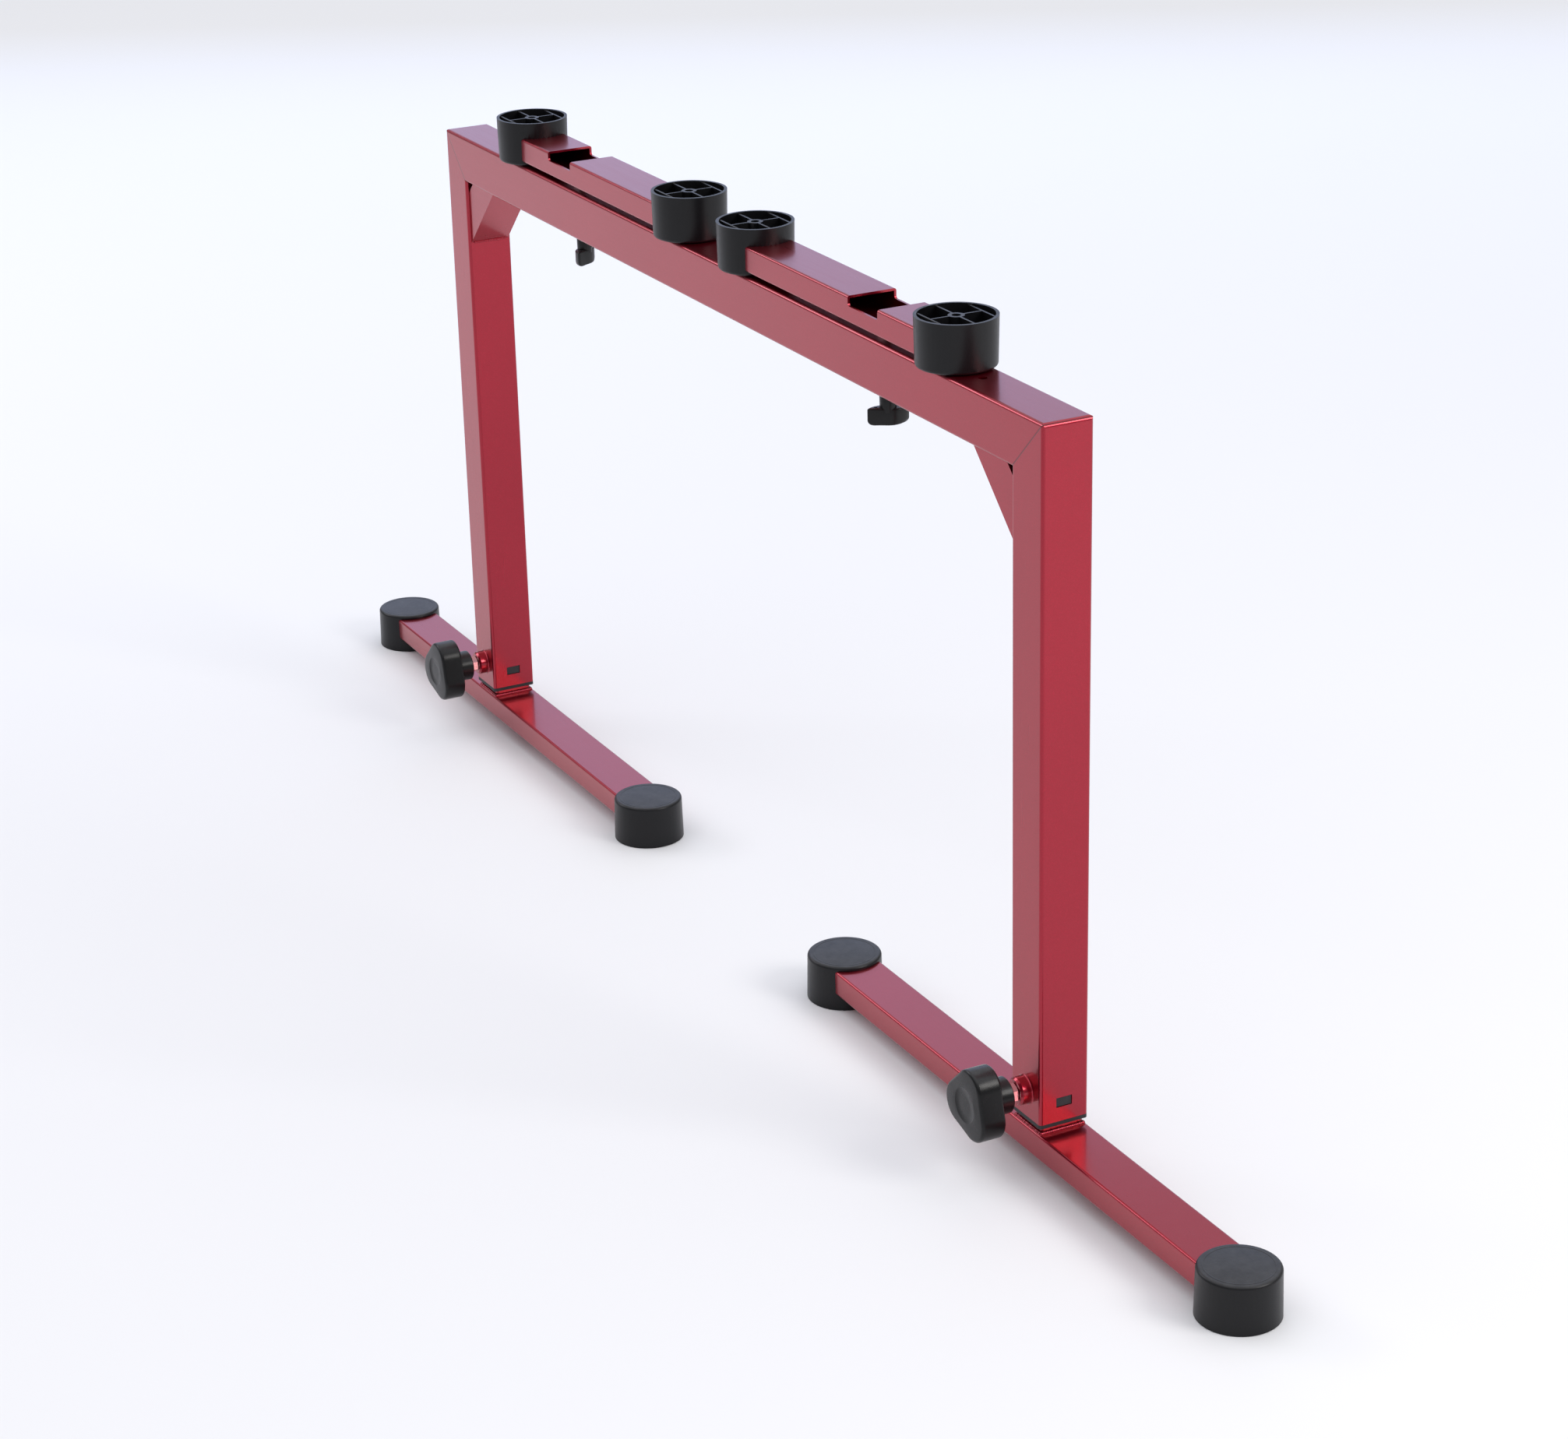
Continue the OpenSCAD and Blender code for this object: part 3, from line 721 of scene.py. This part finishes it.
class STAND_OT_knobs(bpy.types.Operator):
    """Three-lobed clamping knobs with their hubs"""

    bl_idname = "stand.knobs"
    bl_label = "Clamping knobs"

    def execute(self, context):
        sizes = context.scene.stand_grips
        for side in SIDES:
            axis = middle(f"{side}_knob_screw")
            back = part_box(f"{side}_knob_nut")[0][1]
            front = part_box(f"{side}_knob_head")[0][1]
            total = back - front
            hub = total - sizes.head_depth
            edge = sizes.edge_radius
            hub_round = 2.0 * MM
            back_round = 2.0 * MM
            crown = 0.5 * MM
            face = sizes.dimple_radius
            deep = total - sizes.dimple_depth

            # Each level is (height, share of the lobed outline, inset from it)
            # A share of -1 is a plain circle of that radius
            levels = [(0.0, 0.0, 0.8 * MM), (0.8 * MM, 0.0, 0.0), (hub - hub_round, 0.0, 0.0)]
            for sine, cosine in quarter_turn(4)[1:]:
                levels.append((hub - hub_round * (1 - sine), 0.0, -hub_round * (1 - cosine)))
            for sine, cosine in quarter_turn(5):
                levels.append((hub + back_round * (1 - cosine), 1.0, back_round * (1 - sine)))
            for sine, cosine in quarter_turn(8):
                levels.append((total - crown - edge * (1 - sine), 1.0, edge * (1 - cosine)))
            levels += [
                (total - 0.35 * MM, 1.0, edge + 1.2 * MM), (total - 0.1 * MM, 0.7, edge + 3.0 * MM)
            ]
            levels += [(total, -1.0, face + 0.6 * MM), (total - 0.08 * MM, -1.0, face)]
            levels += [
                (deep, -1.0, face - 0.7 * MM), (deep, -1.0, face / 2), (deep + 0.05 * MM, -1.0, 0.6 * MM)
            ]

            def outline(angle, level):
                _, share, inset = level
                if share < 0:
                    radius = inset
                else:
                    lobed = lobed_radius(angle, sizes) - inset
                    radius = (1 - share) * (sizes.hub_radius - inset) + share * lobed
                return radius * math.cos(angle), radius * math.sin(angle)

            # Local X stays +X, local Y is +Z and the height runs along -Y
            place = Matrix.Translation(Vector((axis.x, back, axis.z))) @ Matrix.Rotation(
                math.pi / 2, 4, "X"
            )
            bm = bmesh.new()
            loft(bm, outline, levels, place)
            add_piece(
                bm, f"{side}_knob_grip", "grip_plastic", f"{side}_knob", "grip_plastic",
                f"{side}_knob_head"
            )
        return {"FINISHED"}


class STAND_OT_lock_nuts(bpy.types.Operator):
    """Chamfered hexagon lock nuts behind the knobs"""

    bl_idname = "stand.lock_nuts"
    bl_label = "Lock nuts"

    def execute(self, context):
        for side in SIDES:
            low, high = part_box(f"{side}_knob_nut")
            centre = middle(f"{side}_knob_nut")
            half_flat = (high[2] - low[2]) / 2
            depth = high[1] - low[1]
            corner = half_flat / math.cos(math.pi / 6)

            def outline(angle, level):
                flat = half_flat / math.cos((angle % (math.pi / 3)) - math.pi / 6)
                radius = min(flat, level[1])
                return radius * math.cos(angle + math.pi / 6), radius * math.sin(angle + math.pi / 6)

            inner = half_flat * 0.96
            chamfer = (corner - inner) * math.tan(math.radians(30))
            rise = [(chamfer * step / 4, inner + (corner - inner) * step / 4) for step in range(5)]
            levels = rise + [(depth - height, radius) for height, radius in reversed(rise)]
            place = Matrix.Translation(Vector((centre.x, high[1], centre.z)))
            place = place @ Matrix.Rotation(math.pi / 2, 4, "X")
            bm = bmesh.new()
            loft(bm, outline, levels, place, segments=72)
            add_piece(
                bm, f"{side}_lock_nut", "zinc", f"{side}_knob", "zinc", f"{side}_knob_nut", sharp=25.0
            )
        return {"FINISHED"}


class STAND_OT_wings(bpy.types.Operator):
    """Wing grips under the crossbar: a round stem and a swept wing with a blind hole"""

    bl_idname = "stand.wings"
    bl_label = "Wing grips"

    def execute(self, context):
        sizes = context.scene.stand_grips
        angles = {"left": sizes.left_wing_angle, "right": sizes.right_wing_angle}
        for side in SIDES:
            low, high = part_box(f"{side}_wing_grip")
            centre = middle(f"{side}_wing_bolt")
            depth = sizes.wing_depth
            stem = (high[2] - low[2]) - depth
            half = sizes.wing_length / 2
            place = Matrix.Translation(Vector((centre.x, centre.y, high[2])))
            place = place @ Matrix.Rotation(angles[side], 4, "Z") @ Matrix.Rotation(math.pi, 4, "X")

            def stem_outline(angle, level):
                return level[1] * math.cos(angle), level[1] * math.sin(angle)

            def wing_outline(angle, level):
                _, inset, tip_cut = level
                along = math.cos(angle)
                rise = math.copysign(abs(math.sin(angle)) ** 1.3, math.sin(angle))
                sweep = -sizes.wing_sweep * along**3
                return (half - inset - tip_cut) * along, (sizes.wing_width / 2 - inset) * rise + sweep

            bm = bmesh.new()
            stem_r = sizes.stem_radius
            levels = [(0.0, stem_r - 0.6 * MM), (0.2 * MM, stem_r - 0.2 * MM), (0.7 * MM, stem_r)]
            levels += [(stem, stem_r - 0.3 * MM), (stem + 3 * MM, stem_r - 0.4 * MM)]
            loft(bm, stem_outline, levels, place, segments=64)

            # Each level is (height, inset from the outline, cut from the two tips)
            edge = 1.0 * MM
            tip = 4.0 * MM
            levels = []
            for sine, cosine in reversed(quarter_turn(4)):
                levels.append((stem + edge * (1 - sine), edge * (1 - cosine), 0.0))
            for sine, cosine in quarter_turn(12):
                left = tip * (1 - sine)
                inset = edge - math.sqrt(edge**2 - (edge - left) ** 2) if left < edge else 0.0
                levels.append((stem + depth - left, inset, tip * (1 - cosine)))
            wing = bmesh.new()
            loft(wing, wing_outline, levels, place, segments=96)
            near_tip = Vector((6.0 * MM - half, 0.3 * sizes.wing_sweep, stem + 1.5 * MM))
            drill(wing, place @ Matrix.Translation(near_tip), sizes.hole_radius, 7.0 * MM)
            wing_mesh = bpy.data.meshes.new("wing")
            wing.to_mesh(wing_mesh)
            wing.free()
            bm.from_mesh(wing_mesh)
            bpy.data.meshes.remove(wing_mesh)
            add_piece(
                bm, f"{side}_wing", "grip_plastic", f"{side}_wing_screw", "grip_plastic",
                f"{side}_wing_grip"
            )
        return {"FINISHED"}


class STAND_OT_arm_screws(bpy.types.Operator):
    """Threaded arm screws with rounded tips"""

    bl_idname = "stand.arm_screws"
    bl_label = "Arm screws"

    def execute(self, context):
        sizes = context.scene.stand_parts
        for side in SIDES:
            low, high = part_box(f"{side}_wing_bolt")
            centre = middle(f"{side}_wing_bolt")
            radius = (high[0] - low[0]) / 2
            root = radius - sizes.thread_depth
            length = high[2] - low[2]
            profile = [(0.0, 0.0), (radius, 0.0)]
            height = length * 0.35
            while height < length - 2 * sizes.thread_pitch:
                profile += [(radius, height), (root, height + sizes.thread_pitch / 2)]
                height += sizes.thread_pitch
            profile += [
                (radius, height), (radius, length - 1.2 * MM), (root, length - 0.2 * MM), (0.0, length)
            ]
            bm = bmesh.new()
            spin_profile(bm, profile, Matrix.Translation(Vector((centre.x, centre.y, low[2]))), steps=40)
            add_piece(
                bm, f"{side}_arm_screw", "zinc", f"{side}_wing_screw", "zinc", f"{side}_wing_bolt",
                sharp=25.0
            )
        return {"FINISHED"}


class STAND_OT_welds(bpy.types.Operator):
    """Rippled weld beads round the inner tubes, along the gussets and round the clamp bosses"""

    bl_idname = "stand.welds"
    bl_label = "Weld beads"

    def bead(self, bm, start, end, radius, step, chance):
        """A row of overlapping ripples from one point to another"""
        start, end = Vector(start), Vector(end)
        count = max(2, round((end - start).length / step))
        for index in range(count + 1):
            spot = start.lerp(end, index / count)
            size = radius * chance.uniform(0.88, 1.08)
            bmesh.ops.create_icosphere(bm, subdivisions=2, radius=size, matrix=Matrix.Translation(spot))

    def execute(self, context):
        sizes = context.scene.stand_parts
        chance = random.Random(sizes.seed)
        for side in SIDES:
            low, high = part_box(f"{side}_inner_tube")
            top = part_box(f"{side}_foot_tube")[1][2]
            half_x, half_y = (high[0] - low[0]) / 2, (high[1] - low[1]) / 2
            centre = middle(f"{side}_inner_tube")
            corners = [(1, 1), (-1, 1), (-1, -1), (1, -1)]
            bm = bmesh.new()
            for (ax, ay), (bx, by) in zip(corners, corners[1:] + corners[:1]):
                start = (centre.x + ax * half_x, centre.y + ay * half_y, top)
                end = (centre.x + bx * half_x, centre.y + by * half_y, top)
                self.bead(bm, start, end, sizes.weld_radius, sizes.weld_step, chance)
            add_piece(
                bm, f"{side}_tube_weld", "ruby_weld", f"{side}_foot", "ruby_paint", f"{side}_foot_weld",
                sharp=80.0,
            )

            low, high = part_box(f"{side}_gusset")
            inner_x = low[0] if sign(side) > 0 else high[0]
            outer_x = high[0] if sign(side) > 0 else low[0]
            bm = bmesh.new()
            front, back = low[1] + 3 * MM, high[1] - 3 * MM
            for x, z in ((inner_x, high[2]), (outer_x, low[2])):
                self.bead(bm, (x, front, z), (x, back, z), sizes.gusset_weld_radius, 1.1 * MM, chance)
            add_piece(bm, f"{side}_gusset_weld", "ruby_weld", "frame", "ruby_paint", sharp=80.0)

            low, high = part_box(f"{side}_clamp_boss")
            radius = (high[0] - low[0]) / 2
            fillet = sizes.boss_fillet
            foot = -0.2 * MM
            inside = radius - 0.3 * MM
            profile = [(inside, foot), (radius + fillet, foot)]
            profile += [
                (radius + fillet * (1 - sine), fillet * (1 - cosine)) for sine, cosine in quarter_turn(6)
            ]
            profile += [(inside, fillet), (inside, foot)]
            bm = bmesh.new()
            centre = middle(f"{side}_clamp_boss")
            spin_profile(bm, profile, axis_matrix((centre.x, high[1], centre.z), (0, -1, 0)), steps=72)
            add_piece(bm, f"{side}_boss_fillet", "ruby_weld", "frame", "ruby_paint", sharp=60.0)
        return {"FINISHED"}


class STAND_OT_caps(bpy.types.Operator):
    """End caps with softened edges, and the faint ring on each closed end"""

    bl_idname = "stand.caps"
    bl_label = "End caps"

    def execute(self, context):
        sizes = context.scene.stand_parts
        for side in SIDES:
            for cap in CAPS:
                node = f"{side}_{cap}"
                body = f"{side}_foot" if cap.startswith("foot") else f"{side}_arm"
                bm = bmesh.new()
                bm.from_mesh(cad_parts[node].data)
                bmesh.ops.remove_doubles(bm, verts=bm.verts, dist=1e-6)
                bmesh.ops.dissolve_limit(
                    bm, angle_limit=math.radians(1.0), verts=bm.verts, edges=bm.edges
                )
                piece = add_piece(
                    bm, f"{node}_moulding", "cap_plastic", body, "cap_plastic", node, sharp=40.0
                )
                soften = piece.modifiers.new("Softened edges", "BEVEL")
                soften.width = sizes.cap_bevel
                soften.segments = 2
                soften.limit_method = "ANGLE"
                soften.angle_limit = math.radians(50)
                soften.harden_normals = True

                low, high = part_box(node)
                up = cap.startswith("foot")
                face = high[2] if up else low[2]
                radius = sizes.ring_radius
                rise = sizes.ring_rise
                sunk = -0.3 * MM
                inside = radius - 0.8 * MM
                profile = [(inside, sunk), (radius + 0.6 * MM, sunk), (radius + 0.5 * MM, rise * 0.4)]
                profile += [(radius, rise), (radius - 0.7 * MM, rise * 0.4), (inside, sunk)]
                centre = middle(node)
                bm = bmesh.new()
                spin_profile(
                    bm, profile, axis_matrix((centre.x, centre.y, face), (0, 0, 1 if up else -1))
                )
                add_piece(bm, f"{node}_ring", "cap_plastic", body, "cap_plastic", sharp=60.0)
        return {"FINISHED"}


class STAND_OT_finishes(bpy.types.Operator):
    """Finishes of the CAD nodes that stay as they are"""

    bl_idname = "stand.finishes"
    bl_label = "Node finishes"

    def execute(self, context):
        finish = {
            "leg_tube": "ruby_leg",
            "gusset": "ruby_flat",
            "clamp_boss": "ruby_weld",
            "inner_tube": "ruby_inner",
            "foot_tube": "ruby_flat",
            "foot_weld": "ruby_weld",
            "arm_tube": "ruby_flat",
            "leg_guide": "guide_plastic",
            "slide_plug": "guide_plastic",
            "clamp_pad": "guide_plastic",
            "arm_nut": "zinc",
            "knob_screw": "zinc",
            "knob_nut": "zinc",
            "wing_washer": "zinc",
            "wing_bolt": "zinc",
            "knob_head": "grip_plastic",
            "wing_grip": "grip_plastic",
        }
        for name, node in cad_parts.items():
            if name == "crossbar":
                chosen = "ruby_bar"
            else:
                plain = name.split("_", 1)[1]
                chosen = "cap_plastic" if "_cap_" in name else finish[plain]
            node.data.materials.clear()
            node.data.materials.append(material_named(chosen))
        return {"FINISHED"}


class STAND_OT_studio(bpy.types.Operator):
    """Pale floor, soft lights and the camera"""

    bl_idname = "stand.studio"
    bl_label = "Studio"

    def softbox(self, name, place, target, size, power, colour):
        """An area light that faces a point"""
        data = bpy.data.lights.new(name, "AREA")
        data.shape = "RECTANGLE"
        data.size, data.size_y = size
        data.energy = power
        data.color = colour
        light = bpy.data.objects.new(name, data)
        bpy.context.scene.collection.objects.link(light)
        light.location = place
        light.rotation_euler = (Vector(target) - Vector(place)).to_track_quat("-Z", "Y").to_euler()

    def floor(self, colour):
        """A wide pale floor with a barely uneven tone"""
        material, tree, shader, place = new_material("studio_floor", colour)
        cloud = noise(tree, place, 1.5, 3.0)
        tone = mix_colour(tree, cloud, (*colour, 1.0), (*[channel * 0.985 for channel in colour], 1.0))
        tree.links.new(tone, shader.inputs["Base Color"])
        shader.inputs["Roughness"].default_value = 0.75
        shader.inputs["Specular IOR Level"].default_value = 0.2
        bm = bmesh.new()
        bmesh.ops.create_grid(bm, x_segments=2, y_segments=2, size=14.0)
        mesh = bpy.data.meshes.new("studio_floor")
        bm.to_mesh(mesh)
        bm.free()
        mesh.materials.append(material)
        ground = bpy.data.objects.new("studio_floor", mesh)
        bpy.context.scene.collection.objects.link(ground)
        ground.location.z = -0.0005
        ground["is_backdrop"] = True

    def execute(self, context):
        scene = context.scene
        scene.view_settings.view_transform = "Standard"
        studio = scene.stand_studio
        self.floor(tuple(scene.stand_finishes.floor))
        world = bpy.data.worlds.new("studio_air")
        scene.world = world
        world.use_nodes = True
        tree = world.node_tree
        sky = tree.nodes.new("ShaderNodeTexCoord").outputs["Generated"]
        height = add_node(tree, "ShaderNodeSeparateXYZ", Vector=sky).outputs["Z"]
        rise = tree.nodes.new("ShaderNodeMapRange")
        rise.interpolation_type = "SMOOTHSTEP"
        for index, value in ((1, 0.25), (2, 0.9), (3, 0.3), (4, 1.35)):
            rise.inputs[index].default_value = value
        tree.links.new(height, rise.inputs[0])
        background = tree.nodes["Background"]
        background.inputs["Color"].default_value = (0.95, 0.96, 1.0, 1.0)
        tree.links.new(rise.outputs[0], background.inputs["Strength"])
        heart = (0.0, 0.0, 0.3)
        self.softbox("front_softbox", (-2.6, -1.9, 1.9), heart, (1.8, 0.8), 18, (0.93, 0.92, 1.0))
        self.softbox("back_softbox", (-3.0, 1.6, 1.3), heart, (4.0, 1.5), 17, (0.46, 0.60, 1.0))
        self.softbox("side_softbox", (2.6, 1.5, 1.9), (1.4, 0.5, 0.0), (1.2, 1.2), 34, (1.0, 0.97, 0.94))

        data = bpy.data.cameras.new("camera")
        data.lens = studio.lens
        data.sensor_width = 36.0
        data.clip_end = 60.0
        camera = bpy.data.objects.new("camera", data)
        scene.collection.objects.link(camera)
        flat = math.cos(studio.elevation)
        away = Vector(
            (math.sin(studio.azimuth) * flat, -math.cos(studio.azimuth) * flat, math.sin(studio.elevation))
        )
        camera.location = Vector(studio.target) + away * studio.distance
        aim = (-away).to_track_quat("-Z", "Y").to_matrix().to_4x4() @ Matrix.Rotation(
            -studio.roll, 4, "Z"
        )
        camera.rotation_euler = aim.to_euler()
        scene.camera = camera
        return {"FINISHED"}


class STAND_PT_pieces(bpy.types.Panel):
    """Lists the stand's operators and sizes"""

    bl_idname = "STAND_PT_pieces"
    bl_label = "Keyboard stand"
    bl_space_type = "VIEW_3D"
    bl_region_type = "UI"
    bl_category = "Stand"

    def draw(self, context):
        column = self.layout.column()
        for operator in OPERATORS:
            column.operator(operator.bl_idname)
        for group in (getattr(context.scene, name) for name in GROUPS):
            for name in group.bl_rna.properties.keys():
                if name not in ("rna_type", "name"):
                    column.prop(group, name)


OPERATORS = (
    STAND_OT_finishes,
    STAND_OT_caps,
    STAND_OT_knobs,
    STAND_OT_lock_nuts,
    STAND_OT_wings,
    STAND_OT_arm_screws,
    STAND_OT_welds,
    STAND_OT_studio,
)
GROUPS = {
    "stand_grips": GripSizes,
    "stand_parts": PartSizes,
    "stand_finishes": Finishes,
    "stand_studio": StudioSizes,
}


def register():
    for name, group in GROUPS.items():
        bpy.utils.register_class(group)
        setattr(bpy.types.Scene, name, PointerProperty(type=group))
    for item in (*OPERATORS, STAND_PT_pieces):
        bpy.utils.register_class(item)


def unregister():
    for item in reversed((*OPERATORS, STAND_PT_pieces)):
        bpy.utils.unregister_class(item)
    for name, group in reversed(GROUPS.items()):
        delattr(bpy.types.Scene, name)
        bpy.utils.unregister_class(group)


def write_sizes():
    boxes = {"cad": CAD_BOX, "visual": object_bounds()}
    boxes = {name: [list(corner) for corner in box] for name, box in boxes.items()}


def main():
    register()
    for operator in OPERATORS:
        group, name = operator.bl_idname.split(".")
        getattr(getattr(bpy.ops, group), name)()
    write_sizes()


if __name__ == "__main__":
    main()
